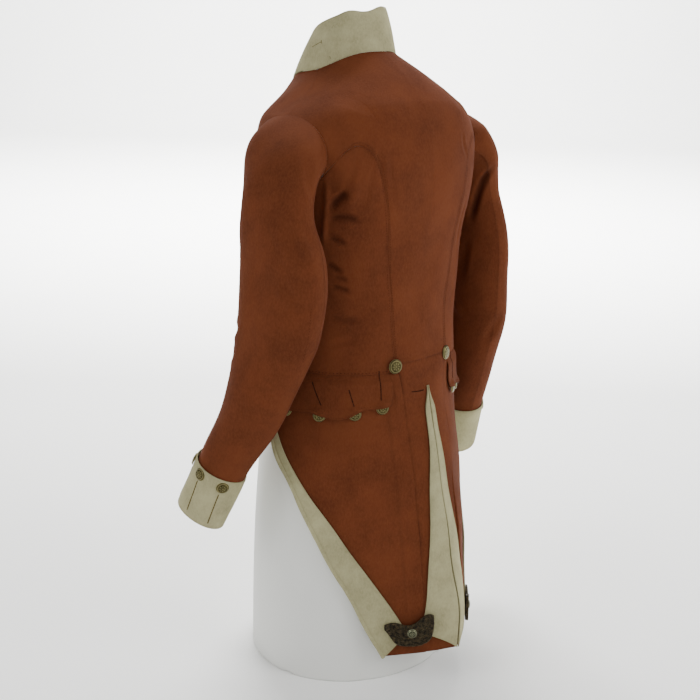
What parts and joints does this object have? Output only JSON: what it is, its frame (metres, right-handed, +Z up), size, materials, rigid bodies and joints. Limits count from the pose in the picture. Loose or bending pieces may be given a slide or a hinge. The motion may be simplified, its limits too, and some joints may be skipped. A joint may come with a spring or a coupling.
{
  "type": "uniform tailcoat on a limbless dress form",
  "caption": "Short-waisted tailcoat with standing collar, contrasting cuffs, turned-back tails and pocket flaps, shown on a plain limbless dress form.",
  "frame": {"origin": "centre of the dress form's flat base, on the surface it stands on", "axes": "+Z up, -Y the way the coat's front faces, +X the wearer's left"},
  "size_m": [0.5236, 0.3372, 0.8883],
  "materials": {
    "brick_red_broadcloth": "matt",
    "buff_broadcloth": "matt",
    "tarnished_brass": "tarnished",
    "tarnished_bullion": "tarnished metal thread",
    "white_form_cover": "smooth"
  },
  "bodies": {
    "root": {"back_left": "brick_red_broadcloth", "back_right": "brick_red_broadcloth", "front_left": "brick_red_broadcloth", "front_right": "brick_red_broadcloth", "pocket_flap_left": "brick_red_broadcloth", "pocket_flap_right": "brick_red_broadcloth", "skirt_back_left": "brick_red_broadcloth", "skirt_back_right": "brick_red_broadcloth", "skirt_side_left": "brick_red_broadcloth", "skirt_side_right": "brick_red_broadcloth", "sleeve_under_left": "brick_red_broadcloth", "sleeve_under_right": "brick_red_broadcloth", "sleeve_upper_left": "brick_red_broadcloth", "sleeve_upper_right": "brick_red_broadcloth", "collar": "buff_broadcloth", "cuff_left": "buff_broadcloth", "cuff_right": "buff_broadcloth", "turnback_front_left": "buff_broadcloth", "turnback_front_right": "buff_broadcloth", "turnback_rear_left": "buff_broadcloth", "turnback_rear_right": "buff_broadcloth", "button_cuff_left_1": "tarnished_brass", "button_cuff_left_2": "tarnished_brass", "button_cuff_left_3": "tarnished_brass", "button_cuff_right_1": "tarnished_brass", "button_cuff_right_2": "tarnished_brass", "button_cuff_right_3": "tarnished_brass", "button_flap_left_1": "tarnished_brass", "button_flap_left_2": "tarnished_brass", "button_flap_left_3": "tarnished_brass", "button_flap_left_4": "tarnished_brass", "button_flap_right_1": "tarnished_brass", "button_flap_right_2": "tarnished_brass", "button_flap_right_3": "tarnished_brass", "button_flap_right_4": "tarnished_brass", "button_front_1": "tarnished_brass", "button_front_2": "tarnished_brass", "button_front_3": "tarnished_brass", "button_front_4": "tarnished_brass", "button_front_5": "tarnished_brass", "button_front_6": "tarnished_brass", "button_hip_left": "tarnished_brass", "button_hip_right": "tarnished_brass", "ornament_boss_left": "tarnished_brass", "ornament_boss_right": "tarnished_brass", "ornament_left": "tarnished_bullion", "ornament_right": "tarnished_bullion", "dress_form": "white_form_cover"}
  },
  "joints": []
}
